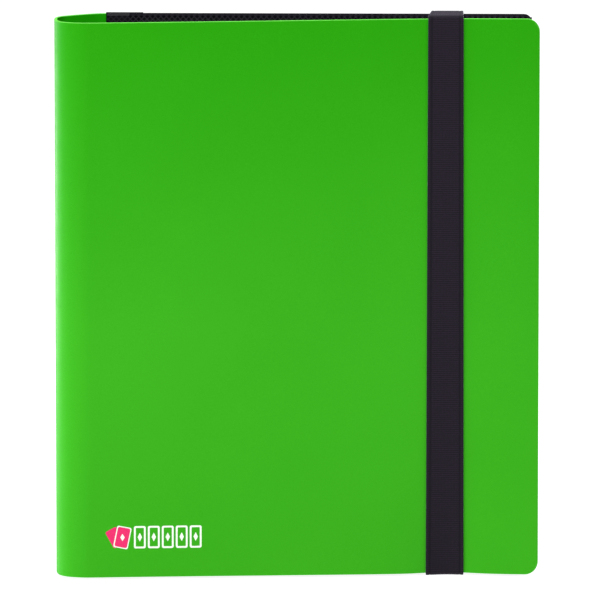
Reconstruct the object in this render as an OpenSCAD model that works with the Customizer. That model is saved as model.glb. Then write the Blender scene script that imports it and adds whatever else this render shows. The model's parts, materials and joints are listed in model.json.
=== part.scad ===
// Trading card binder: a soft one-piece cover with a rounded spine, a bound
// block of four-pocket pages and a wide elastic closing strap.
//
// The binder stands upright and closed. X runs from the spine to the fore
// edge, Y from the front cover to the back cover, and Z is up. The origin is
// the bottom centre of the whole binder.

/* [Cover] */
// Overall width, from the spine's outer face to the fore edge
cover_w = 183; // [175:1:200]
// Height of the cover sheet
cover_h = 212; // [206:1:240]
// Thickness of the cover sheet
sheet_t = 1.1; // [0.8:0.1:1.2]
// Radius of the corners at the fore edge
corner_r = 5; // [2:0.5:10]
// How far the back cover ends short of the front cover's fore edge
back_short = 2.5; // [0:0.5:3]

/* [Spine] */
// Degrees that each curved strip of the spine turns, from back to front
spine_turn = [27, 10, 45, 26, 50, 27.5];
// Length of each curved strip along the sheet's middle, from back to front
spine_run = [5, 12, 6, 9.5, 7, 8];
// Clearance in the moulded crease between two strips
crease_gap = 0.05; // [0.03:0.01:0.06]
// Width of the flat strip that carries the pages, from spine face to its crease
strip_end = 36; // [34:1:44]

/* [Pages] */
// Number of pages
page_count = 20; // [4:1:20]
// Distance between two neighbouring pages in the closed binder
page_pitch = 0.4; // [0.38:0.01:0.4]
// Thickness of a page's black middle sheet
core_t = 0.2; // [0.15:0.01:0.2]
// Thickness of the clear pocket film on each face
film_t = 0.07; // [0.04:0.01:0.07]
// Height of a page
page_h = 211; // [207:0.1:212]
// How far the page tops stand above the cover's top edge
page_rise = 0.5; // [0.1:0.1:0.8]
// Distance of the pages' fore edge from the cover's fore edge
page_inset = 3; // [2:0.5:8]
// Width of the bound edge
tab_w = 8; // [6:0.5:10]
// Distance of the bound edge from the spine's outer face
tab_x = 20; // [20:0.5:24]
// Width of a pocket
pocket_w = 70; // [66:0.5:70]
// Height of a pocket
pocket_h = 95; // [91:0.5:96]
// Width of the weld along three sides of a pocket
weld_w = 4; // [3:0.5:4]
// Gap between a pocket's open edge and the next pocket's film
slit_w = 1; // [0.5:0.1:1.5]

/* [Binding] */
// Thickness of the strip that the bound edge is fixed to
base_t = 1.5; // [1.4:0.1:1.8]
// Width of the strip that the bound edge is fixed to
base_w = 14; // [12:0.5:14]
// Thickness of the tape round the bound edge
tape_t = 0.3; // [0.2:0.05:0.35]

/* [Closing strap] */
// Width of the elastic strap
strap_w = 14; // [10:0.5:16]
// Thickness of the elastic strap
strap_t = 0.9; // [0.6:0.1:0.9]
// Distance of the strap's middle from the spine's outer face
strap_x = 147.5; // [120:0.5:160]
// Distance of each slot from the cover's top or bottom edge
slot_inset = 20; // [14:1:40]
// Length of the strap's end inside the back cover
tail_run = 14; // [10:1:20]

/* [Hidden] */

$fn = 64;
half_t = sheet_t / 2;
strap_gap = 0.1;
leaf_gap = 0.2;
base_lead = 1;
// Cuts run this far past the faces that they open.
past = 1;
page_t = core_t + 2 * film_t;
spine_strips = len(spine_turn);

// The cover's bottom edge hangs just clear of the strap that passes under it.
cover_z = strap_t + strap_gap;
cover_top = cover_z + cover_h;
total_h = cover_top + page_rise + strap_t;
page_z = cover_top + page_rise - page_h;

cover_green = [0.17, 0.66, 0.08];
page_black = [0.10, 0.09, 0.12];
strap_black = [0.16, 0.14, 0.17];

// The spine's middle line is a chain of arcs in plan. It starts at the flat
// strip's end, heading along -X, and turns left until it heads back along +X.
function heading(k) = k == 0 ? 180 : heading(k - 1) + spine_turn[k - 1];
function arc_r(k) = spine_run[k] / (spine_turn[k] * PI / 180);
function left_of(a) = [cos(a + 90), sin(a + 90)];
function crease(k) =
    k == 0 ? [0, -half_t] : arc_c(k - 1) - arc_r(k - 1) * left_of(heading(k));
function arc_c(k) = crease(k) + arc_r(k) * left_of(heading(k));

// Arcs are counted from 0. Arc 3 holds the spine's outermost point, and arc 5
// holds the cover's foremost.
spine_face = arc_c(3)[0] - arc_r(3) - half_t;
cover_front = arc_c(5)[1] - arc_r(5) - half_t;
strap_back = strap_gap + strap_t;

// Plan positions are measured from the start of the spine's chain, with the
// back cover's outer face at y = 0, and this moves them to the binder's frame.
origin_x = -spine_face - cover_w / 2;
origin_y = -(cover_front + strap_back) / 2;
module placed() { translate([origin_x, origin_y, 0]) children(); }

function from_spine(x) = spine_face + x;

front_crease = crease(spine_strips);
front_angle = heading(spine_strips) - 360;
front_len = (from_spine(cover_w) - front_crease[0]) / cos(front_angle);
function on_front(u, v) = front_crease + u * [cos(front_angle), sin(front_angle)]
    + v * [-sin(front_angle), cos(front_angle)];

inner_y = -sheet_t;
tape_back_y = inner_y - base_t;
block_back_y = tape_back_y - tape_t;
block_front_y = block_back_y - page_count * page_pitch;
tape_front_y = block_front_y - tape_t;
leaf_x = from_spine(tab_x + tab_w) + leaf_gap;
leaf_w = from_spine(cover_w - page_inset) - leaf_x;
// Pages are counted from the front cover.
function page_y(i) = block_front_y + (i - 0.5) * page_pitch;

strap_left = from_spine(strap_x - strap_w / 2);
strap_u = (from_spine(strap_x) - front_crease[0]) / cos(front_angle);
strap_v = -half_t - strap_gap;

slot_w = strap_w + 1.5;
slot_h = 1.6;
tail_gap = 0.35;
tail_y = inner_y - tail_gap - strap_t;
clip_wall = 0.2;
clip_end_t = 0.6;
clip_w = strap_w + 4;
clip_h = 4;

function two_digits(i) = i < 10 ? str("0", i) : str(i);
function strip_name(k) = str("spine_strip_", k);
function page_name(i) = str("page_", two_digits(i));
function films_name(i) = str("page_films_", two_digits(i));

// A sheet from u = 0, standing on the cover's bottom edge, with its middle
// plane in XZ and its two far corners rounded.
module sheet_outline(len) {
    square([len - corner_r, cover_h]);
    translate([0, corner_r]) square([len, cover_h - 2 * corner_r]);
    for (z = [corner_r, cover_h - corner_r])
        translate([len - corner_r, z]) circle(corner_r);
}

module sheet(len) {
    translate([0, half_t, cover_z]) rotate([90, 0, 0])
        linear_extrude(sheet_t) sheet_outline(len);
}

// The rounded edge of a sheet, which turns in the next sheet's socket.
module nose(at) {
    translate([at[0], at[1], cover_z]) cylinder(h = cover_h, r = half_t);
}

// The hollow edge that a neighbour's nose turns in.
module socket(at) {
    translate([at[0], at[1], cover_z - past])
        cylinder(h = cover_h + 2 * past, r = half_t + crease_gap);
}

// A pie slice in plan, wide enough for the widest arc of the spine.
module slice(from, to, r) {
    polygon([[0, 0], for (a = [from, (from + to) / 2, to]) r * [cos(a), sin(a)]]);
}

module front_cover() {
    color(cover_green) placed() {
        nose(front_crease);
        translate(front_crease) rotate([0, 0, front_angle]) sheet(front_len);
    }
}

// One curved strip of the spine. Strip k runs from crease k - 1 to crease k.
module spine_strip(k) {
    r = arc_r(k - 1);
    from = heading(k - 1) - 90;
    to = heading(k) - 90;
    color(cover_green) placed() difference() {
        union() {
            translate(arc_c(k - 1)) translate([0, 0, cover_z]) linear_extrude(cover_h)
                intersection() {
                    difference() {
                        circle(r + half_t);
                        circle(r - half_t);
                    }
                    slice(from, to, 1.5 * (r + half_t));
                }
            nose(crease(k - 1));
        }
        socket(crease(k));
    }
}

// The flat strip of the cover beside the spine. The pages are fixed to it.
module hinge_strip() {
    color(cover_green) placed() difference() {
        translate([0, -sheet_t, cover_z]) cube([from_spine(strip_end), sheet_t, cover_h]);
        socket(crease(0));
        socket([from_spine(strip_end), -half_t]);
    }
}

module slot_outline() {
    square([slot_w - slot_h, slot_h], center = true);
    for (side = [-1, 1]) translate([side * (slot_w - slot_h) / 2, 0]) circle(d = slot_h);
}

module back_cover() {
    color(cover_green) placed() difference() {
        union() {
            nose([from_spine(strip_end), -half_t]);
            translate([from_spine(strip_end), -half_t, 0])
                sheet(cover_w - back_short - strip_end);
        }
        for (z = [cover_z + slot_inset, cover_top - slot_inset])
            translate([from_spine(strap_x), past, z]) rotate([90, 0, 0])
                linear_extrude(sheet_t + 2 * past) slot_outline();
    }
}

module binding_base() {
    color(page_black) placed()
        translate([from_spine(tab_x) - base_lead, tape_back_y, page_z])
            cube([base_w, base_t, page_h]);
}

// Tape folded round the bound edge, open on the side that the pages leave by.
module binding_tape() {
    color([0.07, 0.06, 0.09]) placed()
        translate([from_spine(tab_x) - tape_t, 0, page_z]) {
            translate([0, block_front_y, 0])
                cube([tape_t, block_back_y - block_front_y, page_h]);
            for (y = [tape_front_y, block_back_y])
                translate([0, y, 0]) cube([tape_t + tab_w, tape_t, page_h]);
        }
}

// The pages' bound edges, one behind the other inside the tape.
module bound_edges() {
    color(page_black) placed() for (i = [1:page_count])
        translate([from_spine(tab_x), page_y(i) - page_t / 2, page_z])
            cube([tab_w, page_t, page_h]);
}

module page(i) {
    color(page_black) placed()
        translate([leaf_x, page_y(i) - core_t / 2, page_z])
            cube([leaf_w, core_t, page_h]);
}

// Clear pocket films on both faces, two rows of two. Each is welded along its
// top, its bottom and its fore edge, and is open on its binding side.
module page_films(i) {
    film_w = pocket_w + weld_w - slit_w;
    film_h = pocket_h + 2 * weld_w;
    outer = leaf_x + leaf_w - pocket_w - weld_w;
    color([0.55, 0.56, 0.60, 0.5]) placed()
        for (side = [-1, 1], column = [0, 1], row = [1, 3])
            translate([outer - column * (pocket_w + weld_w) + slit_w,
                       page_y(i) + side * (core_t + film_t) / 2 - film_t / 2,
                       page_z + row * page_h / 4 - film_h / 2])
                cube([film_w, film_t, film_h]);
}

// The strap's run down the front cover, from wrap to wrap.
module strap_front() {
    color(strap_black) placed() translate(front_crease) rotate([0, 0, front_angle])
        translate([strap_u - strap_w / 2, strap_v - strap_t, strap_t])
            cube([strap_w, strap_t, total_h - 2 * strap_t]);
}

// The strap's flat run over an edge of the closed binder.
module strap_wrap(z) {
    near_left = on_front(strap_u - strap_w / 2, strap_v - strap_t);
    near_right = on_front(strap_u + strap_w / 2, strap_v - strap_t);
    color(strap_black) placed() translate([0, 0, z]) linear_extrude(strap_t)
        polygon([near_left, near_right, [strap_left + strap_w, strap_back],
                 [strap_left, strap_back]]);
}

// One end of the strap: down the back cover, in through its slot and on
// inside. Heights are measured from the cover's edge, and lead is how far
// beyond that edge the strap crosses to the front.
module strap_tail(lead) {
    translate([strap_left, strap_gap, -lead])
        cube([strap_w, strap_t, lead + slot_inset + strap_t / 2]);
    translate([strap_left, tail_y, slot_inset - strap_t / 2]) {
        cube([strap_w, strap_back - tail_y, strap_t]);
        cube([strap_w, strap_t, tail_run]);
    }
}

module strap_top_tail() {
    color(strap_black) placed()
        translate([0, 0, cover_top]) mirror([0, 0, 1]) strap_tail(page_rise);
}

module strap_bottom_tail() {
    color(strap_black) placed() translate([0, 0, cover_z]) strap_tail(strap_gap);
}

// A crimped metal clip on each end of the strap, too wide to pull through.
module end_clip() {
    depth = strap_t + 2 * clip_wall;
    translate([from_spine(strap_x) - clip_w / 2, tail_y - clip_wall, 0]) {
        cube([clip_w, clip_wall, clip_h]);
        translate([0, depth - clip_wall, 0]) cube([clip_w, clip_wall, clip_h]);
        translate([0, clip_wall, clip_h - clip_end_t])
            cube([clip_w, strap_t, clip_end_t]);
    }
}

module strap_end_clips() {
    reach = slot_inset - strap_t / 2 + tail_run - clip_h + clip_end_t;
    color("silver") placed() {
        translate([0, 0, cover_z + reach]) end_clip();
        translate([0, 0, cover_top - reach]) mirror([0, 0, 1]) end_clip();
    }
}

front_cover();
for (k = [1:spine_strips])
    spine_strip(k);
hinge_strip();
back_cover();
binding_base();
binding_tape();
bound_edges();
for (i = [1:page_count])
    page(i);
for (i = [1:page_count])
    page_films(i);
strap_front();
strap_wrap(total_h - strap_t);  // strap_top_wrap
strap_wrap(0);  // strap_bottom_wrap
strap_top_tail();
strap_bottom_tail();
strap_end_clips();
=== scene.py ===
import bpy
import json
import math
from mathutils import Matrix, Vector

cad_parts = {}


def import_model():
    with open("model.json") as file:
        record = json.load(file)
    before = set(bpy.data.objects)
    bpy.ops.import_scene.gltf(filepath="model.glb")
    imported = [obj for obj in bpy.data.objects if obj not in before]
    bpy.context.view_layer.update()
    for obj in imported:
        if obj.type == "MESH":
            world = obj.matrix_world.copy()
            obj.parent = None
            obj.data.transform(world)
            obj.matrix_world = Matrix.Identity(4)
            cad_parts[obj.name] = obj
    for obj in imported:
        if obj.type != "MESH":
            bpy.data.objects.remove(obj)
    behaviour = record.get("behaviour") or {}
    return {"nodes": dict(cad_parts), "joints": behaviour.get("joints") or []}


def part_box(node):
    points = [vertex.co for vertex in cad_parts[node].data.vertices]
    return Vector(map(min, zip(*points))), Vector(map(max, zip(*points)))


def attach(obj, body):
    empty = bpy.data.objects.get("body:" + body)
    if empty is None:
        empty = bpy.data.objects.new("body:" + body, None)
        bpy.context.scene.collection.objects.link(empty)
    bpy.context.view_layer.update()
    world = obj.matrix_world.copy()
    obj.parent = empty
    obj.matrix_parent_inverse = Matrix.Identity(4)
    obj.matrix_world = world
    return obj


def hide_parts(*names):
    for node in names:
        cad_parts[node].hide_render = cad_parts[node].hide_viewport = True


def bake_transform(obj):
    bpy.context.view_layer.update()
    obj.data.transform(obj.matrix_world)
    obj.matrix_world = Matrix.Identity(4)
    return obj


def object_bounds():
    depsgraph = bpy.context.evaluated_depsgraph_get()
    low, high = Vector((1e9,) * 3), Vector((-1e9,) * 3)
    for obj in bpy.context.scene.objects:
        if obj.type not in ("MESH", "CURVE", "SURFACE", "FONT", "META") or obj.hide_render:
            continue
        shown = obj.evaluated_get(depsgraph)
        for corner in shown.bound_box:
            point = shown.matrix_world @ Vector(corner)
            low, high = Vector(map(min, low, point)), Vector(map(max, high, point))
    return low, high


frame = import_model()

CAD_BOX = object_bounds()
MM = 0.001
JOINTS = {j["name"]: j for j in frame["joints"]}
PAGES = sum(1 for name in frame["nodes"] if name.startswith("page_films_"))
STRIPS = sum(1 for name in frame["nodes"] if name.startswith("spine_strip_"))


# ------------------------------------------------------------- the frame's places

def joint_xy(name):
    p = JOINTS[name]["pos_m"]
    return Vector((p[0], p[1]))


def unit(angle):
    return Vector((math.cos(angle), math.sin(angle)))


hinge_lo, hinge_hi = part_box("hinge_strip")
back_lo, back_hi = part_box("back_cover")
front_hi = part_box("front_cover")[1]
COVER_T = hinge_hi.y - hinge_lo.y
COVER_LOW, COVER_HIGH = back_lo.z, back_hi.z
CREASES = [joint_xy("spine_hinge_%d" % k) for k in range(1, STRIPS + 1)]
CREASES.append(joint_xy("front_cover_hinge"))
BACK_CREASE = joint_xy("back_cover_hinge")
BACK_OUTER = hinge_hi.y


def spine_arcs():
    """Each spine strip as (centre, radius, first angle, turn), and the front cover's heading."""
    arcs = []
    heading = math.pi
    for a, b in zip(CREASES, CREASES[1:]):
        chord = b - a
        aim = math.atan2(chord.y, chord.x) % (2 * math.pi)
        turn = 2 * (aim - heading)
        radius = chord.length / (2 * math.sin(turn / 2))
        centre = a + radius * unit(heading + math.pi / 2)
        arcs.append((centre, radius, heading - math.pi / 2, turn))
        heading += turn
    return arcs, heading


ARCS, FRONT_HEADING = spine_arcs()
FRONT_DIR = unit(FRONT_HEADING)
FRONT_OUT = unit(FRONT_HEADING - math.pi / 2)
FRONT_LEN = (front_hi.x - COVER_T / 2 * FRONT_OUT.x - CREASES[-1].x) / FRONT_DIR.x

strap_lo, strap_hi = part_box("strap_top_tail")
wrap_lo, wrap_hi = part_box("strap_top_wrap")
STRAP_W = strap_hi.x - strap_lo.x
STRAP_T = wrap_hi.z - wrap_lo.z
STRAP_X = (strap_lo.x + strap_hi.x) / 2
STRAP_U = (STRAP_X - CREASES[-1].x) / FRONT_DIR.x
STRAP_TOP = wrap_hi.z - STRAP_T / 2
STRAP_BOTTOM = STRAP_T / 2


# ------------------------------------------------------------------- mesh tools

def new_piece(name, verts, faces, sharp=(), values=None):
    """A smooth-shaded mesh that keeps its rest places in the attribute place, for its material."""
    mesh = bpy.data.meshes.new(name)
    mesh.from_pydata([tuple(v) for v in verts], [], faces)
    mesh.polygons.foreach_set("use_smooth", [True] * len(mesh.polygons))
    wanted = {tuple(sorted(e)) for e in sharp}
    if wanted:
        for edge in mesh.edges:
            if tuple(sorted(edge.vertices)) in wanted:
                edge.use_edge_sharp = True
    rest = mesh.attributes.new("place", "FLOAT_VECTOR", "POINT")
    rest.data.foreach_set("vector", [c for v in verts for c in v])
    for key, numbers in (values or {}).items():
        mesh.attributes.new(key, "FLOAT", "POINT").data.foreach_set("value", numbers)
    mesh.update()
    obj = bpy.data.objects.new(name, mesh)
    bpy.context.scene.collection.objects.link(obj)
    return obj


class Sheet:
    """What a sheet is cut from: its ends in height, thickness, edge rounding and corner radius."""

    def __init__(self, low, high, thick, edge, corner, row_step):
        self.low, self.high, self.thick, self.edge, self.corner = low, high, thick, edge, corner
        self.edge_steps = [edge * s for s in (0.0, 0.12, 0.35, 0.65, 1.0, 1.2, 5.0)]
        self.rows = max(2, round((high - low) / row_step))

    def heights(self, low, high):
        """Row heights from low to high, close together at both edges."""
        span = high - low - 2 * self.edge_steps[-1]
        start = low + self.edge_steps[-1]
        middle = [start + span * i / self.rows for i in range(1, self.rows)]
        return ([low + e for e in self.edge_steps] + middle
                + [high - e for e in reversed(self.edge_steps)])

    def from_edge(self, station, z):
        """The distance of a point of the sheet from its nearest cut edge."""
        d = min(z - self.low, self.high - z, station.to_end)
        if station.to_end < self.corner:
            over = max(self.low + self.corner - z, z - self.high + self.corner)
            if over > 0:
                d = self.corner - math.hypot(self.corner - station.to_end, over)
        return max(d, 0.0)

    def half(self, d):
        """Half of the thickness at a distance from the edge."""
        if d >= self.edge:
            return self.thick / 2
        return self.thick / 2 - self.edge + math.sqrt(self.edge**2 - (self.edge - d) ** 2)


class Station:
    """One column of a sheet: its place and outward normal in plan, its distance along the sheet
    and from the sheet's far end, and how much shorter the sheet is there at top and bottom."""

    def __init__(self, at, out, along=0.0, to_end=1.0, trim=0.0):
        self.at, self.out, self.along, self.to_end, self.trim = at, out, along, to_end, trim


def sheet_mesh(sheet, stations, bow=None):
    """Vertices, faces, sharp edges and cut-edge values of a closed stretch of sheet, moved
    forward by bow(along, z)."""
    verts, near_edge = [], []
    for side in (1, -1):
        for st in stations:
            for z in sheet.heights(sheet.low + st.trim, sheet.high - st.trim):
                d = sheet.from_edge(st, z)
                shift = bow(st.along, z) if bow else 0.0
                p = st.at + st.out * side * sheet.half(d) - Vector((0, shift))
                verts.append((p.x, p.y, z))
                near_edge.append(max(0.0, 1 - d / sheet.edge))
    n, rows = len(stations), len(verts) // (2 * len(stations))
    last = rows - 1

    def at(side, i, j):
        return (side * n + i) * rows + j

    faces, sharp = [], []
    for i in range(n - 1):
        for j in range(last):
            faces.append((at(0, i, j), at(0, i + 1, j), at(0, i + 1, j + 1), at(0, i, j + 1)))
            faces.append((at(1, i, j), at(1, i, j + 1), at(1, i + 1, j + 1), at(1, i + 1, j)))
        faces.append((at(0, i, 0), at(1, i, 0), at(1, i + 1, 0), at(0, i + 1, 0)))
        faces.append((at(0, i, last), at(0, i + 1, last), at(1, i + 1, last), at(1, i, last)))
    for i, turned in ((0, False), (n - 1, True)):
        seam = stations[i].to_end > 0
        for j in range(last):
            quad = (at(0, i, j), at(0, i, j + 1), at(1, i, j + 1), at(1, i, j))
            faces.append(quad[::-1] if turned else quad)
            if seam:
                sharp += [(at(0, i, j), at(0, i, j + 1)), (at(1, i, j), at(1, i, j + 1))]
        if seam:
            sharp += [(at(0, i, 0), at(1, i, 0)), (at(0, i, last), at(1, i, last))]
    return verts, faces, sharp, near_edge


def sheet_piece(name, sheet, stations, bow=None, inner_first=False):
    """A piece of sheet that knows how near its cut edges are and which face is the inside."""
    verts, faces, sharp, near_edge = sheet_mesh(sheet, stations, bow)
    half = len(verts) // 2
    inside = [1.0 if (i < half) == inner_first else 0.0 for i in range(len(verts))]
    return new_piece(name, verts, faces, sharp, {"cut_edge": near_edge, "inside": inside})


SEAM_STEP = 0.03 * MM
CORNER_STEPS = 14
ARC_STEP = math.radians(2)


def with_seam_steps(places):
    """The places with one more just inside each end, so that normals match across a seam."""
    return [places[0], places[0] + SEAM_STEP, *places[1:-1], places[-1] - SEAM_STEP, places[-1]]


def even(first, last, step):
    """Evenly spaced places from first to last, at most step apart."""
    count = max(2, math.ceil(abs(last - first) / step))
    return [first + (last - first) * i / count for i in range(count + 1)]


def arc_stations(k, first, last):
    """Stations along spine strip k, from one fraction of its turn to another."""
    centre, radius, start, turn = ARCS[k]
    stations = []
    seam = SEAM_STEP / (radius * turn)
    fractions = even(first, last, ARC_STEP / turn)
    fractions = [fractions[0], first + seam, *fractions[1:-1], last - seam, last]
    for f in fractions:
        out = unit(start + f * turn)
        stations.append(Station(centre + radius * out, out))
    return stations


def line_stations(origin, direction, out, places):
    return [Station(origin + direction * p, out, p) for p in places]


def panel_stations(sheet, origin, direction, out, places, length, steps=CORNER_STEPS):
    """Stations of a flat panel at places, then round the two corners at its far end."""
    stations = [Station(origin + direction * p, out, p, length - p) for p in places]
    for i in range(1, steps + 1):
        angle = math.pi / 2 * i / steps
        p = length - sheet.corner + sheet.corner * math.sin(angle)
        drop = sheet.corner * (1 - math.cos(angle))
        stations.append(Station(origin + direction * p, out, p, max(length - p, 0.0), drop))
    return stations


# ------------------------------------------------------------------- the cover

COVER = Sheet(COVER_LOW, COVER_HIGH, COVER_T, edge=0.3 * MM, corner=5 * MM, row_step=4 * MM)
PANEL_STEP = 2.5 * MM    # between the columns of a flat panel
HINGE_SEAM = 8 * MM      # from the spine's first crease to the seam in the hinge strip
FRONT_SEAM = 5 * MM      # from the last crease to the seam in the front cover
BACK_SEAM = 9 * MM       # from the back crease to the seam in the back cover
STRAP_PULL = 2.5 * MM    # how far the strap pulls the front cover in
LOW_FLARE = 6.4 * MM     # how far the lower fore corner stands out
HIGH_FLARE = 0.6 * MM    # how far the upper fore corner stands out
LOW_SWELL = 4.2 * MM     # how far the lower edge swells out before the strap
PINCH = 2.8 * MM         # how far the strap dents the lower edge
PINCH_SPREAD = 11 * MM   # how far the dent reaches on each side of the strap
BOW_START = 8 * MM       # where the front starts to bow, from its crease
LOW_REACH = 95 * MM      # how far up the lower edge's shape reaches
HIGH_REACH = 60 * MM     # how far down the upper corner's shape reaches
RELEASE = 0.85           # the share of the strap's pull that is gone at the fore edge


def smooth(t):
    """0 below 0, 1 above 1, and an even S-curve between."""
    t = min(max(t, 0.0), 1.0)
    return t * t * (3 - 2 * t)


def front_bow(u, z):
    """How far the front cover stands forward of its flat plane at u from its crease."""
    before = smooth((u - BOW_START) / (STRAP_U - BOW_START))
    beyond = smooth((u - STRAP_U) / (FRONT_LEN - STRAP_U))
    low = max(0.0, 1 - (z - COVER_LOW) / LOW_REACH) ** 2
    high = max(0.0, 1 - (COVER_HIGH - z) / HIGH_REACH) ** 2
    pull = STRAP_PULL * before * (1 - RELEASE * beyond)
    swell = LOW_SWELL * before * (1 - beyond) * low
    flare = (LOW_FLARE * low + HIGH_FLARE * high) * beyond
    dent = PINCH * math.exp(-(((u - STRAP_U) / PINCH_SPREAD) ** 2)) * low**2
    return swell + flare - pull - dent


def on_front(u, z, lift):
    """The plan place at u from the front crease and height z, lift above the outer face."""
    return (CREASES[-1] + FRONT_DIR * u + FRONT_OUT * (COVER_T / 2 + lift)
            - Vector((0, front_bow(u, z))))


def world(p, z=0.0):
    return (p.x, p.y, z)


def build_spine():
    """The bent sheet from the hinge strip round to the front cover, one piece for each crease."""
    minus_x = Vector((-1, 0))
    plus_y = Vector((0, 1))
    pieces = []
    for k in range(STRIPS + 1):
        stations = []
        if k == 0:
            flat = with_seam_steps(even(-HINGE_SEAM, 0.0, 1 * MM))[:-1]
            stations += line_stations(CREASES[0], minus_x, plus_y, flat)
        else:
            stations += arc_stations(k - 1, 0.5, 1.0)[:-2]
        if k < STRIPS:
            stations += arc_stations(k, 0.0, 0.5)
        else:
            flat = with_seam_steps(even(0.0, FRONT_SEAM, 0.5 * MM))
            stations += line_stations(CREASES[-1], FRONT_DIR, FRONT_OUT, flat)
        piece = sheet_piece("spine_skin_%d" % (k + 1), COVER, stations)
        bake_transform(piece)
        if k < STRIPS:
            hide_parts("spine_strip_%d" % (k + 1))
        pieces.append(piece)
    return pieces


def build_front():
    places = with_seam_steps(even(FRONT_SEAM, FRONT_LEN - COVER.corner, PANEL_STEP))
    stations = panel_stations(COVER, CREASES[-1], FRONT_DIR, FRONT_OUT, places, FRONT_LEN)
    piece = sheet_piece("front_cover_skin", COVER, stations, front_bow)
    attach(piece, "front_cover")
    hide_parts("front_cover")
    return piece


def build_back_bend():
    """The stretch of the back of the sheet that folds at the binding base's edge."""
    first = CREASES[0].x + HINGE_SEAM - BACK_CREASE.x
    places = with_seam_steps(even(first, BACK_SEAM, 0.75 * MM))
    stations = line_stations(BACK_CREASE, Vector((1, 0)), Vector((0, -1)), places)
    piece = sheet_piece("back_bend_skin", COVER, stations, inner_first=True)
    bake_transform(piece)
    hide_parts("hinge_strip")
    return piece


def slot_cutter(z):
    """A long block with round ends, which cuts one of the strap's slots."""
    half_w = STRAP_W / 2 + SLOT_MARGIN
    half_h, depth, steps = SLOT_HALF_HEIGHT, 4 * MM, 10
    outline = []
    for end in (0, 1):
        for i in range(steps + 1):
            a = math.pi * (i / steps + end) - math.pi / 2
            side = half_w - half_h if end == 0 else half_h - half_w
            outline.append((STRAP_X + side + half_h * math.cos(a), z + half_h * math.sin(a)))
    n = len(outline)
    verts = [(x, BACK_OUTER + s * depth, zz) for s in (1, -1) for x, zz in outline]
    faces = [tuple(range(n)), tuple(reversed(range(n, 2 * n)))]
    faces += [(i, i + n, (i + 1) % n + n, (i + 1) % n) for i in range(n)]
    mesh = bpy.data.meshes.new("slot_cutter")
    mesh.from_pydata(verts, [], faces)
    cutter = bpy.data.objects.new("slot_cutter", mesh)
    bpy.context.scene.collection.objects.link(cutter)
    return cutter


def cut(piece, cutter):
    """Cuts one object out of another and removes the cutter."""
    modifier = piece.modifiers.new("cut", "BOOLEAN")
    modifier.operation = "DIFFERENCE"
    modifier.solver = "EXACT"
    modifier.object = cutter
    graph = bpy.context.evaluated_depsgraph_get()
    mesh = bpy.data.meshes.new_from_object(piece.evaluated_get(graph), depsgraph=graph)
    piece.modifiers.clear()
    old = piece.data
    piece.data = mesh
    bpy.data.meshes.remove(old)
    bpy.data.objects.remove(cutter)


def build_back():
    length = back_hi.x - BACK_CREASE.x
    places = with_seam_steps(even(BACK_SEAM, length - COVER.corner, PANEL_STEP))
    stations = panel_stations(COVER, BACK_CREASE, Vector((1, 0)), Vector((0, -1)), places, length)
    piece = sheet_piece("back_cover_skin", COVER, stations, inner_first=True)
    for z in (SLOT_LOW, SLOT_HIGH):
        cut(piece, slot_cutter(z))
    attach(piece, "back_cover")
    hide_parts("back_cover")
    return piece


# ------------------------------------------------------------------ the strap

TAIL_RUN = 14 * MM
SLOT_HIGH = strap_lo.z + TAIL_RUN - STRAP_T / 2
SLOT_LOW = COVER_LOW + COVER_HIGH - SLOT_HIGH
WRAP_BEND = 1.5 * MM     # the strap's bend over an edge, to its middle
SLOT_BEND = 0.6 * MM
SLOT_MARGIN = 0.75 * MM  # how far a slot is longer than the strap is wide, at each end
SLOT_HALF_HEIGHT = 0.8 * MM
RIB_PITCH = 0.8 * MM
RIB_DEPTH = 0.045 * MM
ROW_STEP = 0.2 * MM
STRAP_LIFT = 0.06 * MM   # between the strap and the sheet under it
STRAP_ROUND = 0.4 * MM   # the rounding of the strap's edges
SELVEDGE = 1.5 * MM      # from the strap's edge to its groove
GROOVE_DEPTH = 0.10 * MM
TOP_WIDTH, LOW_WIDTH = 0.96, 1.03    # the elastic is drawn narrower at the top
BACK_WIDTH = 0.86        # and narrower still behind the top edge
BACK_SHIFT = 0.6 * MM
OVER_ROWS = 60           # rows of the mesh across the top and the bottom of the binder
QUARTER = [math.pi / 2 * i / 8 for i in range(9)]


def strap_front(w, z):
    """The middle of the strap's front run, at w across it and height z."""
    return on_front(STRAP_U + w, z, STRAP_LIFT + STRAP_T / 2)


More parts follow.
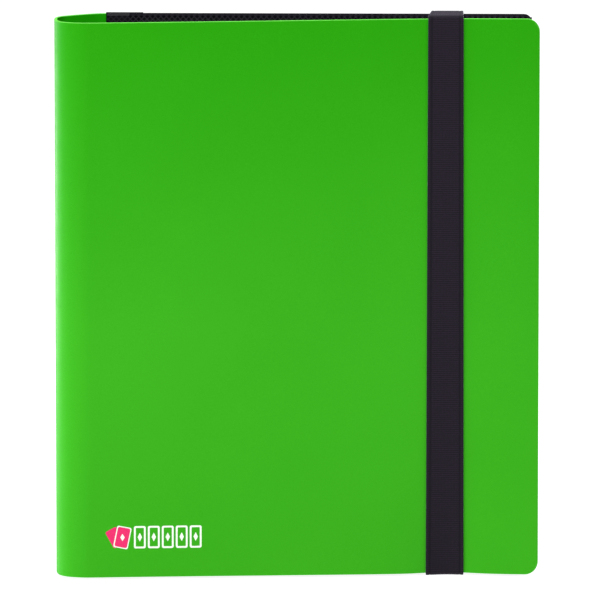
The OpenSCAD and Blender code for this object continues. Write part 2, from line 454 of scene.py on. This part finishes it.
def strap_end(across, over, flipped):
    """The strap's middle line from its end inside the back cover, out through the slot and over
    the cover's edge at height over to the front; flipped turns it upside down."""
    def height(z):
        return COVER_LOW + COVER_HIGH - z if flipped else z

    w = across * (LOW_WIDTH if flipped else TOP_WIDTH)
    behind = STRAP_X + (across if flipped else across * BACK_WIDTH + BACK_SHIFT)
    back = Vector((behind, BACK_OUTER + STRAP_LIFT + STRAP_T / 2))
    inside = back.y - (strap_lo.y + STRAP_T / 2)
    line = [(inside, z) for z in even(strap_lo.z, SLOT_HIGH - SLOT_BEND, ROW_STEP)]
    line += [(inside - SLOT_BEND + SLOT_BEND * math.cos(a),
              SLOT_HIGH - SLOT_BEND + SLOT_BEND * math.sin(a)) for a in QUARTER[1:]]
    line += [(d, SLOT_HIGH) for d in even(inside - SLOT_BEND, SLOT_BEND, ROW_STEP)[1:]]
    line += [(SLOT_BEND - SLOT_BEND * math.sin(a),
              SLOT_HIGH + SLOT_BEND - SLOT_BEND * math.cos(a)) for a in QUARTER[1:]]
    line += [(0.0, z) for z in even(SLOT_HIGH + SLOT_BEND, over - WRAP_BEND, ROW_STEP)[1:]]
    line += [(WRAP_BEND - WRAP_BEND * math.cos(a),
              over - WRAP_BEND + WRAP_BEND * math.sin(a)) for a in QUARTER[1:]]
    far = strap_front(w, height(COVER_HIGH))
    depth = (far - back).length
    toward = (far - back) / depth
    flat = depth - 2 * WRAP_BEND
    line += [(WRAP_BEND + flat * i / OVER_ROWS, over) for i in range(1, OVER_ROWS + 1)]
    line += [(depth - WRAP_BEND + WRAP_BEND * math.sin(a),
              over - WRAP_BEND + WRAP_BEND * math.cos(a)) for a in QUARTER[1:]]
    return [(back + toward * d, height(z)) for d, z in line]


def strap_line(across):
    """The strap's middle line from end to end, at a place across it, as (plan point, height)."""
    top = strap_end(across, STRAP_TOP, False)
    bottom = strap_end(across, COVER_LOW + COVER_HIGH - STRAP_BOTTOM, True)
    high, low = top[-1][1], bottom[-1][1]
    run = []
    for z in even(high, low, ROW_STEP)[1:-1]:
        t = (high - z) / (high - low)
        run.append((strap_front(across * (TOP_WIDTH + (LOW_WIDTH - TOP_WIDTH) * t), z), z))
    return top + run + bottom[::-1]


def strap_columns():
    """Places across the strap, close together at its edges."""
    near_edge = [0.0, 0.03, 0.1, 0.22, 0.4, 0.7, 1.0, 1.25, 1.5, 1.8, 2.3, 3.2]
    half_w, inner_w = STRAP_W / 2, STRAP_W / 2 - 4.2 * MM
    return ([-half_w + e * MM for e in near_edge] + [inner_w * (i / 3 - 1) for i in range(7)]
            + [half_w - e * MM for e in reversed(near_edge)])


def strap_half(d, along):
    """Half of the strap's thickness at distance d from its edge and along from its end."""
    half = STRAP_T / 2
    if d < STRAP_ROUND:
        half -= STRAP_ROUND - math.sqrt(STRAP_ROUND**2 - (STRAP_ROUND - d) ** 2)
    groove = GROOVE_DEPTH * math.exp(-(((d - SELVEDGE) / (0.25 * MM)) ** 2))
    rib = RIB_DEPTH * (math.cos(2 * math.pi * along / RIB_PITCH) - 1)
    return half - groove + rib * min(d / MM, 1.0)


def band_faces(n, rows):
    """The faces of a closed band whose two sides each have n columns of vertices."""
    def at(side, i, j):
        return (side * n + i) * rows + j

    faces = []
    for i in range(n - 1):
        for j in range(rows - 1):
            faces.append((at(0, i, j), at(0, i, j + 1), at(0, i + 1, j + 1), at(0, i + 1, j)))
            faces.append((at(1, i, j), at(1, i + 1, j), at(1, i + 1, j + 1), at(1, i, j + 1)))
        for j, turned in ((0, False), (rows - 1, True)):
            quad = (at(0, i, j), at(0, i + 1, j), at(1, i + 1, j), at(1, i, j))
            faces.append(quad[::-1] if turned else quad)
    for j in range(rows - 1):
        for i, turned in ((0, False), (n - 1, True)):
            quad = (at(0, i, j), at(1, i, j), at(1, i, j + 1), at(0, i, j + 1))
            faces.append(quad[::-1] if turned else quad)
    return faces


def build_strap():
    """One woven band from end to end, with ribs across it and a groove beside each selvedge."""
    columns = strap_columns()
    lines = [strap_line(w) for w in columns]
    rows = len(lines[0])
    along = [0.0]
    middle = lines[len(lines) // 2]
    for a, b in zip(middle, middle[1:]):
        along.append(along[-1] + math.hypot((b[0] - a[0]).length, b[1] - a[1]))
    verts, values = [], {"along": [], "across": []}
    for side in (1, -1):
        for w, line in zip(columns, lines):
            for r in range(rows):
                p = Vector((*line[r][0], line[r][1]))
                a, b = line[max(r - 1, 0)], line[min(r + 1, rows - 1)]
                run = Vector((*b[0], b[1])) - Vector((*a[0], a[1]))
                wide = Vector((*(lines[-1][r][0] - lines[0][r][0]), 0.0)).normalized()
                out = wide.cross(run).normalized()
                verts.append(p + out * side * strap_half(STRAP_W / 2 - abs(w), along[r]))
                values["along"].append(along[r])
                values["across"].append(w)
    faces = band_faces(len(columns), rows)
    piece = new_piece("elastic_strap", verts, faces, values=values)
    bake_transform(piece)
    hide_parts("strap_front", "strap_top_wrap", "strap_bottom_wrap",
                "strap_top_tail", "strap_bottom_tail")
    return piece


# ------------------------------------------------------------------ the pages

PAGE_BEND = 13 * MM      # how far out from the bound edge a turned page bends
BEND_STEP = 0.65 * MM
page_lo, page_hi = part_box("page_01")
edge_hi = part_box("bound_edges")[1]
CORE_T = page_hi.y - page_lo.y
PAGE = Sheet(page_lo.z, page_hi.z, CORE_T, edge=0.03 * MM, corner=3 * MM, row_step=60 * MM)
PAGE_LEN = page_hi.x - edge_hi.x
FILM_W, FILM_H, FILM_T = 73 * MM, 103 * MM, 0.07 * MM
FILM_STEP = 74 * MM      # from one column of pockets to the next


def page_y(i):
    lo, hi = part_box("page_%02d" % i)
    return (lo.y + hi.y) / 2


def page_columns(first, last):
    """Places along a page, close together where it bends."""
    bend = [p for p in even(0.0, PAGE_BEND, BEND_STEP) if first < p < last]
    return [first, *bend, last]


def block(verts, faces, xs, ys, zs):
    """Adds a closed box to verts and faces, with a column of vertices at each of xs."""
    base = len(verts)
    ring = [(ys[0], zs[0]), (ys[1], zs[0]), (ys[1], zs[1]), (ys[0], zs[1])]
    verts += [(x, y, z) for x in xs for y, z in ring]
    for c in range(len(xs) - 1):
        for k in range(4):
            a, b = base + 4 * c + k, base + 4 * c + (k + 1) % 4
            faces.append((a, b, b + 4, a + 4))
    end = base + 4 * (len(xs) - 1)
    faces.append((base + 3, base + 2, base + 1, base))
    faces.append((end, end + 1, end + 2, end + 3))


def bend_page(piece):
    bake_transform(piece)


def build_page(i):
    origin = Vector((edge_hi.x, page_y(i)))
    places = page_columns(0.0, PAGE_LEN - PAGE.corner)
    stations = panel_stations(PAGE, origin, Vector((1, 0)), Vector((0, -1)), places, PAGE_LEN,
                              steps=6)
    piece = sheet_piece("leaf_sheet_%02d" % i, PAGE, stations)
    bend_page(piece)
    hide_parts("page_%02d" % i)
    return piece


def build_films(i):
    """The clear fronts of a page's eight pockets, open on the binding side."""
    verts, faces = [], []
    height = page_hi.z - page_lo.z
    y = page_y(i)
    for side in (-1, 1):
        near = y + side * CORE_T / 2
        ys = sorted((near, near + side * FILM_T))
        for column in (0, 1):
            x1 = page_hi.x - column * FILM_STEP
            x0 = x1 - FILM_W
            xs = [edge_hi.x + p for p in page_columns(x0 - edge_hi.x, x1 - edge_hi.x)]
            for row in (1, 3):
                z = page_lo.z + row * height / 4
                block(verts, faces, xs, ys, (z - FILM_H / 2, z + FILM_H / 2))
    piece = new_piece("pocket_films_%02d" % i, verts, faces)
    piece.data.polygons.foreach_set("use_smooth", [False] * len(piece.data.polygons))
    bend_page(piece)
    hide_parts("page_films_%02d" % i)
    return piece


# -------------------------------------------------------------------- materials

class Nodes:
    """A short way to write a node tree."""

    def __init__(self, name):
        self.material = bpy.data.materials.new(name)
        self.material.use_nodes = True
        self.tree = self.material.node_tree
        self.shader = self.tree.nodes["Principled BSDF"]

    def add(self, kind, **inputs):
        node = self.tree.nodes.new(kind)
        for key, value in inputs.items():
            self.give(node.inputs[key.replace("_", " ")], value)
        return node

    def give(self, socket, value):
        if isinstance(value, bpy.types.NodeSocket):
            self.tree.links.new(value, socket)
        else:
            socket.default_value = value

    def math(self, operation, a, b=0.0):
        node = self.tree.nodes.new("ShaderNodeMath")
        node.operation = operation
        self.give(node.inputs[0], a)
        self.give(node.inputs[1], b)
        return node.outputs[0]

    def place(self):
        """Where the surface is at rest, so that a pattern stays on a blended piece."""
        return self.attribute("place", "Vector")

    def attribute(self, name, output="Fac"):
        node = self.tree.nodes.new("ShaderNodeAttribute")
        node.attribute_name = name
        return node.outputs[output]

    def split(self, vector):
        return self.add("ShaderNodeSeparateXYZ", Vector=vector).outputs

    def noise(self, vector, scale, detail=2.0, roughness=0.5):
        node = self.add("ShaderNodeTexNoise", Vector=vector, Scale=scale, Detail=detail,
                        Roughness=roughness)
        return node.outputs["Fac"]

    def ramp(self, value, low, high, to_low=0.0, to_high=1.0):
        node = self.tree.nodes.new("ShaderNodeMapRange")
        node.clamp = True
        for socket, v in zip(node.inputs, (value, low, high, to_low, to_high)):
            self.give(socket, v)
        return node.outputs[0]

    def mix(self, share, a, b):
        node = self.tree.nodes.new("ShaderNodeMix")
        node.data_type = "RGBA"
        self.give(node.inputs[0], share)
        self.give(node.inputs[6], a)
        self.give(node.inputs[7], b)
        return node.outputs[2]

    def bump(self, height, distance, strength=1.0):
        node = self.add("ShaderNodeBump", Height=height, Distance=distance, Strength=strength)
        self.give(self.shader.inputs["Normal"], node.outputs[0])

    def set(self, **inputs):
        for key, value in inputs.items():
            self.give(self.shader.inputs[key.replace("_", " ")], value)


def rgb(r, g, b):
    """An sRGB colour from 0 to 255 as linear RGBA."""
    def one(c):
        c /= 255
        return c / 12.92 if c <= 0.04045 else ((c + 0.055) / 1.055) ** 2.4
    return (one(r), one(g), one(b), 1.0)


def cover_material():
    """Matt lime green sheet, with painted shade that darkens it towards the top, painted light
    that lightens the inside of the spine's back half, and a painted highlight along its cut edges."""
    m = Nodes("lime_polypropylene")
    place = m.place()
    cloud = m.noise(place, 16.0, 3.0)
    grain = m.noise(place, 2400.0, 2.0, 0.6)
    pebble = m.noise(place, 5200.0, 2.0, 0.6)
    scuff = m.noise(place, 260.0, 4.0, 0.7)
    shade = m.math("ADD", m.math("MULTIPLY", cloud, 0.35), m.math("MULTIPLY", grain, 0.65))
    x, y, z = m.split(place)
    # Painted shade: the high colours are darker than the low ones, so the sheet darkens towards
    # the top.
    low = m.mix(m.ramp(shade, 0.3, 0.7), (0.0315, 0.340, 0.0075, 1), (0.0425, 0.386, 0.0115, 1))
    high = m.mix(m.ramp(shade, 0.3, 0.7), (0.0150, 0.282, 0.0008, 1), (0.021, 0.322, 0.0020, 1))
    body = m.mix(m.ramp(z, 0.45 * COVER_HIGH, COVER_HIGH), low, high)
    # Painted light: the inner face of the spine's back half is lighter and greener, as if lit
    # through the sheet.
    inner = m.mix(m.ramp(shade, 0.3, 0.7), (0.012, 0.43, 0.0008, 1), (0.018, 0.48, 0.0020, 1))
    behind = m.math("MULTIPLY", m.ramp(x, -60 * MM, -72 * MM), m.ramp(y, 0.0, 6 * MM))
    faces = m.mix(m.math("MULTIPLY", m.attribute("inside"), behind), body, inner)
    # Painted highlight: a lighter green along the sheet's cut edges.
    edge = m.mix(m.attribute("cut_edge"), faces, (0.14, 0.62, 0.07, 1))
    m.set(Base_Color=edge, IOR=1.45, Specular_IOR_Level=0.06)
    worn = m.math("ADD", m.math("MULTIPLY", scuff, 0.6), m.math("MULTIPLY", cloud, 0.4))
    m.set(Roughness=m.ramp(worn, 0.3, 0.7, 0.46, 0.56))
    height = m.math("ADD", m.math("ADD", grain, pebble), m.math("MULTIPLY", scuff, 0.5))
    m.bump(height, 0.015 * MM, 0.7)
    return m.material


WELD_PITCH = 2.1 * MM


def knurl(m, x, z):
    """1 on the ridges of a diamond weld pattern."""
    lines = []
    for sign in (1, -1):
        slope = m.math("ADD", x, m.math("MULTIPLY", z, sign))
        wave = m.math("PINGPONG", slope, WELD_PITCH / 2)
        lines.append(m.ramp(wave, 0.0, WELD_PITCH / 5, 1.0, 0.0))
    return m.math("MAXIMUM", lines[0], lines[1])


def weld_bands(m, x, z):
    """1 inside a page's welded bands: top, middle, bottom, fore edge and between the columns."""
    middle = (page_lo.z + page_hi.z) / 2
    from_middle = m.math("ABSOLUTE", m.math("SUBTRACT", z, middle))
    half = (page_hi.z - page_lo.z) / 2
    outer = m.math("GREATER_THAN", from_middle, half - 7 * MM)
    inner = m.math("LESS_THAN", from_middle, 3.5 * MM)
    fore = m.math("GREATER_THAN", x, page_hi.x - 4 * MM)
    column = m.math("ABSOLUTE", m.math("SUBTRACT", x, page_hi.x - FILM_STEP - 2 * MM))
    seam = m.math("LESS_THAN", column, 2 * MM)
    return m.math("MAXIMUM", m.math("MAXIMUM", outer, inner), m.math("MAXIMUM", fore, seam))


def upright_faces(m):
    """1 on the upright faces, 0 on the top and bottom ends."""
    upward = m.math("ABSOLUTE", m.split(m.add("ShaderNodeNewGeometry").outputs["Normal"])[2])
    return m.ramp(upward, 0.3, 0.6, 1.0, 0.0)


def page_material():
    m = Nodes("black_page")
    place = m.place()
    x, _, z = m.split(place)
    face = upright_faces(m)
    welds = m.math("MULTIPLY", knurl(m, x, z), weld_bands(m, x, z))
    welds = m.math("MULTIPLY", welds, face)
    grain = m.noise(place, 900.0, 3.0, 0.6)
    base = m.mix(m.ramp(grain, 0.3, 0.7), rgb(12, 11, 17), rgb(21, 18, 26))
    m.set(Base_Color=m.mix(welds, base, rgb(60, 54, 66)), IOR=1.45, Specular_IOR_Level=0.02)
    duller_ends = m.ramp(face, 0.0, 1.0, 0.45, 0.0)
    m.set(Roughness=m.math("ADD", m.ramp(grain, 0.3, 0.7, 0.36, 0.46), duller_ends))
    m.bump(m.math("ADD", m.math("MULTIPLY", grain, 0.15), welds), 0.05 * MM, 0.6)
    return m.material


def bound_material():
    m = Nodes("bound_black")
    place = m.add("ShaderNodeNewGeometry").outputs["Position"]
    grain = m.noise(place, 900.0, 3.0, 0.6)
    m.set(Base_Color=m.mix(m.ramp(grain, 0.3, 0.7), rgb(10, 9, 13), rgb(18, 16, 22)), IOR=1.45)
    m.set(Roughness=m.ramp(grain, 0.3, 0.7, 0.6, 0.8), Specular_IOR_Level=0.08)
    m.bump(grain, 0.03 * MM, 0.5)
    return m.material


def film_material():
    m = Nodes("clear_film")
    place = m.place()
    x, _, z = m.split(place)
    bands = weld_bands(m, x, z)
    welds = m.math("MULTIPLY", knurl(m, x, z), bands)
    ripple = m.noise(place, 45.0, 2.0)
    haze = m.noise(place, 1500.0, 2.0)
    clear = m.mix(m.ramp(haze, 0.3, 0.7), rgb(84, 84, 94), rgb(94, 94, 104))
    welded = m.mix(welds, rgb(34, 32, 40), rgb(96, 90, 104))
    sides = m.mix(bands, clear, welded)
    m.set(Base_Color=m.mix(upright_faces(m), rgb(5, 4, 7), sides))
    m.set(Roughness=m.ramp(haze, 0.3, 0.7, 0.20, 0.25), IOR=1.45, Specular_IOR_Level=0.4)
    m.set(Alpha=0.45)
    m.bump(m.math("ADD", m.math("MULTIPLY", ripple, 5.0), welds), 0.05 * MM, 0.5)
    return m.material


def elastic_material():
    m = Nodes("woven_elastic")
    along, across = m.attribute("along"), m.attribute("across")
    rib = m.math("SINE", m.math("MULTIPLY", along, 2 * math.pi / RIB_PITCH))
    warp = m.math("SINE", m.math("MULTIPLY", across, 2 * math.pi / (0.55 * MM)))
    twill = m.math("SINE", m.math("ADD", m.math("MULTIPLY", along, 2 * math.pi / (0.4 * MM)),
                                  m.math("MULTIPLY", across, 2 * math.pi / (0.9 * MM))))
    fuzz = m.noise(m.place(), 2600.0, 3.0, 0.7)
    weave = m.math("ADD", m.math("MULTIPLY", rib, 0.30), m.math("MULTIPLY", warp, 0.15))
    weave = m.math("ADD", weave, m.math("MULTIPLY", twill, 0.12))
    weave = m.math("ADD", weave, m.math("MULTIPLY", m.math("SUBTRACT", fuzz, 0.5), 1.2))
    d = m.math("SUBTRACT", STRAP_W / 2, m.math("ABSOLUTE", across))
    from_groove = m.math("ABSOLUTE", m.math("SUBTRACT", d, SELVEDGE))
    groove = m.ramp(from_groove, 0.1 * MM, 0.5 * MM, 0.55, 1.0)
    tone = m.mix(m.ramp(weave, -0.8, 0.8), rgb(10, 8, 13), rgb(42, 35, 47))
    # Painted shade: the colour darkens in the groove beside each selvedge.
    dark = m.mix(groove, rgb(8, 6, 10), tone)
    m.set(Base_Color=dark, Roughness=m.ramp(fuzz, 0.3, 0.7, 0.75, 0.9))
    m.set(IOR=1.4, Specular_IOR_Level=0.15)
    m.set(Sheen_Weight=0.6, Sheen_Roughness=0.3, Sheen_Tint=(0.86, 0.8, 1.0, 1))
    m.bump(weave, 0.04 * MM, 0.7)
    return m.material


def tape_material():
    m = Nodes("black_cloth_tape")
    place = m.add("ShaderNodeNewGeometry").outputs["Position"]
    x, y, z = m.split(place)
    warp = m.math("SINE", m.math("MULTIPLY", m.math("ADD", x, y), 2 * math.pi / (0.5 * MM)))
    weft = m.math("SINE", m.math("MULTIPLY", z, 2 * math.pi / (0.5 * MM)))
    weave = m.math("MULTIPLY", warp, weft)
    fuzz = m.noise(place, 1400.0, 3.0, 0.6)
    shade = m.math("ADD", m.math("MULTIPLY", weave, 0.4), fuzz)
    cloth = m.mix(m.ramp(shade, 0.1, 0.9), rgb(14, 12, 18), rgb(28, 25, 33))
    m.set(Base_Color=m.mix(knurl(m, x, z), cloth, rgb(50, 44, 55)))
    m.set(Roughness=m.ramp(fuzz, 0.3, 0.7, 0.8, 0.95), Specular_IOR_Level=0.08)
    m.bump(shade, 0.05 * MM, 0.6)
    return m.material


def metal_material():
    m = Nodes("nickel_clip")
    place = m.add("ShaderNodeNewGeometry").outputs["Position"]
    x, y, z = m.split(place)
    drawn = m.add("ShaderNodeCombineXYZ", X=m.math("MULTIPLY", x, 0.05), Y=y, Z=z)
    streak = m.noise(drawn.outputs[0], 4000.0, 3.0)
    m.set(Base_Color=m.mix(m.ramp(streak, 0.3, 0.7), rgb(170, 170, 172), rgb(205, 205, 208)))
    m.set(Metallic=1.0, Roughness=m.ramp(streak, 0.3, 0.7, 0.24, 0.38))
    m.bump(streak, 0.01 * MM, 0.5)
    return m.material


def ink_material(name, dark, light):
    m = Nodes(name)
    grain = m.noise(m.place(), 2400.0, 3.0, 0.7)
    m.set(Base_Color=m.mix(m.ramp(grain, 0.3, 0.75), dark, light))
    m.set(Roughness=m.ramp(grain, 0.3, 0.7, 0.45, 0.6))
    m.bump(grain, 0.01 * MM, 0.4)
    return m.material


def floor_material():
    """A pale floor lit from within, as a light table is."""
    m = Nodes("pale_floor")
    place = m.add("ShaderNodeNewGeometry").outputs["Position"]
    m.set(Base_Color=m.mix(m.noise(place, 3.0), (0.29, 0.29, 0.29, 1), (0.31, 0.31, 0.31, 1)))
    m.set(Roughness=0.9, Specular_IOR_Level=0.1)
    m.set(Emission_Color=(1, 1, 1, 1), Emission_Strength=0.92)
    return m.material


def paint(obj, material):
    obj.data.materials.clear()
    obj.data.materials.append(material)


# ------------------------------------------------------------- the printed mark

INK_T = 0.02 * MM
INK_LIFT = 0.01 * MM     # from the cover to the first layer of ink
INK_STEP = 0.025 * MM    # from one layer of ink to the next


def card_outline(u, z, width, height, tilt=0.0, corner=0.7 * MM, steps=5):
    """The outline of a small upright card with rounded corners, turned by tilt."""
    points = []
    for k, (sx, sz) in enumerate(((1, 1), (-1, 1), (-1, -1), (1, -1))):
        for i in range(steps + 1):
            a = math.pi / 2 * (k + i / steps)
            x = sx * (width / 2 - corner) + corner * math.cos(a)
            y = sz * (height / 2 - corner) + corner * math.sin(a)
            points.append((u + x * math.cos(tilt) - y * math.sin(tilt),
                           z + x * math.sin(tilt) + y * math.cos(tilt)))
    return points


def printed_shape(verts, faces, outline, layer=0):
    """Adds a flat printed shape, with a very thin wall down to the layer below."""
    base, n = len(verts), len(outline)
    lift = INK_LIFT + layer * INK_STEP
    verts += [world(on_front(u, z, lift + INK_T), z) for u, z in outline]
    verts += [world(on_front(u, z, lift), z) for u, z in outline]
    faces.append(tuple(range(base, base + n)))
    faces.append(tuple(reversed(range(base + n, base + 2 * n))))
    faces += [(base + i, base + n + i, base + n + (i + 1) % n, base + (i + 1) % n)
              for i in range(n)]


def printed_frame(verts, faces, outer, inner):
    """Adds a flat printed ring between two outlines with as many points as each other."""
    base, n = len(verts), len(outer)
    for ring, up in ((outer, INK_T), (inner, INK_T), (outer, 0.0), (inner, 0.0)):
        verts += [world(on_front(u, z, INK_LIFT + up), z) for u, z in ring]
    for i in range(n):
        j = (i + 1) % n
        for a, b in ((0, 1), (1, 3), (3, 2), (2, 0)):
            faces.append((base + a * n + i, base + a * n + j, base + b * n + j, base + b * n + i))


def diamond(u, z, width, height):
    return [(u + width / 2, z), (u, z + height / 2), (u - width / 2, z), (u, z - height / 2)]


def build_mark():
    """A generic mark: two pink cards, and a row of small white playing cards beside them."""
    left = 19.6 * MM - (CREASES[-1].x - CAD_BOX[0].x)
    z = COVER_LOW + 15.4 * MM
    rear, fore = left + 3.2 * MM, left + 6.0 * MM
    card_w, card_h, border = 4.5 * MM, 8.6 * MM, 0.7 * MM
    white, pink = ([], []), ([], [])
    printed_shape(*pink, card_outline(rear, z, 4.8 * MM, 7.2 * MM, 0.5))
    printed_shape(*white, card_outline(fore, z, 5.6 * MM, 8.4 * MM, -0.2), layer=1)
    printed_shape(*pink, card_outline(fore, z, 4.8 * MM, 7.6 * MM, -0.2), layer=2)
    printed_shape(*white, diamond(fore, z, 1.7 * MM, 2.8 * MM), layer=3)
    for k in range(5):
        u = left + 12.6 * MM + k * 5.3 * MM
        printed_frame(*white, card_outline(u, z, card_w, card_h),
                      card_outline(u, z, card_w - 2 * border, card_h - 2 * border,
                                   corner=0.3 * MM))
        printed_shape(*white, diamond(u, z, 1.7 * MM, 3.4 * MM))
    for name, shape, ink in (
        ("printed_cards_white", white,
         ink_material("white_ink", rgb(222, 236, 214), rgb(246, 252, 242))),
        ("printed_cards_pink", pink,
         ink_material("pink_ink", rgb(212, 8, 84), rgb(238, 16, 112))),
    ):
        piece = new_piece(name, *shape)
        piece.data.polygons.foreach_set("use_smooth", [False] * len(piece.data.polygons))
        paint(piece, ink)
        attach(piece, "front_cover")


# -------------------------------------------------------------- camera and light

def build_camera():
    """A long lens, a little above the front: the sides stay nearly parallel and the top shows."""
    distance, pitch, turn = 3.6, math.radians(9.2), math.radians(1.2)
    target = Vector((0.0011, 0.0, 0.1055))
    picture_width, pixels_per_metre = 600, 2.641 / MM
    camera = bpy.data.cameras.new("camera")
    camera.sensor_width = 36.0
    camera.lens = pixels_per_metre * distance * camera.sensor_width / picture_width
    camera.clip_start, camera.clip_end = 0.1, 100.0
    eye = bpy.data.objects.new("camera", camera)
    back = Vector((math.sin(turn) * math.cos(pitch), -math.cos(turn) * math.cos(pitch),
                   math.sin(pitch)))
    eye.location = target + back * distance
    eye.rotation_euler = (-back).to_track_quat("-Z", "Y").to_euler()
    bpy.context.scene.collection.objects.link(eye)
    bpy.context.scene.camera = eye


def area_light(name, place, aim, size, power):
    light = bpy.data.lights.new(name, "AREA")
    light.shape = "RECTANGLE"
    light.size, light.size_y = size
    light.energy = power
    lamp = bpy.data.objects.new(name, light)
    lamp.location = place
    lamp.rotation_euler = (Vector(aim) - Vector(place)).to_track_quat("-Z", "Y").to_euler()
    lamp.visible_camera = False
    bpy.context.scene.collection.objects.link(lamp)


def build_stage():
    """An evenly lit pale studio, with low lights along the spine at the left."""
    scene = bpy.context.scene
    scene.view_settings.view_transform = "Standard"
    sky = bpy.data.worlds.new("studio")
    sky.use_nodes = True
    sky.node_tree.nodes["Background"].inputs["Color"].default_value = (1, 1, 1, 1)
    sky.node_tree.nodes["Background"].inputs["Strength"].default_value = 0.2
    scene.world = sky
    half = 40.0    # metres, so that no view shows the floor's edge
    mesh = bpy.data.meshes.new("floor")
    mesh.from_pydata([(-half, -half, 0), (half, -half, 0), (half, half, 0), (-half, half, 0)],
                     [], [(0, 1, 2, 3)])
    floor = bpy.data.objects.new("floor", mesh)
    scene.collection.objects.link(floor)
    paint(floor, floor_material())
    area_light("key", (-0.25, -1.3, 2.1), (0, 0, 0.1), (1.6, 1.2), 49)
    area_light("top_back", (0.0, 0.6, 1.3), (0, 0, 0.2), (1.2, 0.8), 20)
    spine = (-0.09, 0, 0.05)
    area_light("left_rim", (-0.7, 0.17, 0.03), spine, (0.6, 0.12), 4.0)
    area_light("left_back", (-0.5, 0.5, 0.05), spine, (0.3, 0.14), 1.3)
    area_light("left_front", (-0.5, -0.3, 0.05), spine, (0.4, 0.16), 1.1)


# ------------------------------------------------------------------------- build

build_camera()
build_stage()

cover_look = cover_material()
for part in [*build_spine(), build_front(), build_back_bend(), build_back()]:
    paint(part, cover_look)

strap = build_strap()
paint(strap, elastic_material())

page_look, film_look = page_material(), film_material()
for number in range(1, PAGES + 1):
    leaf, films = build_page(number), build_films(number)
    paint(leaf, page_look)
    paint(films, film_look)

for node, look in (("bound_edges", bound_material()), ("binding_base", bound_material()),
                   ("binding_tape", tape_material()), ("strap_end_clips", metal_material())):
    paint(frame["nodes"][node], look)

build_mark()
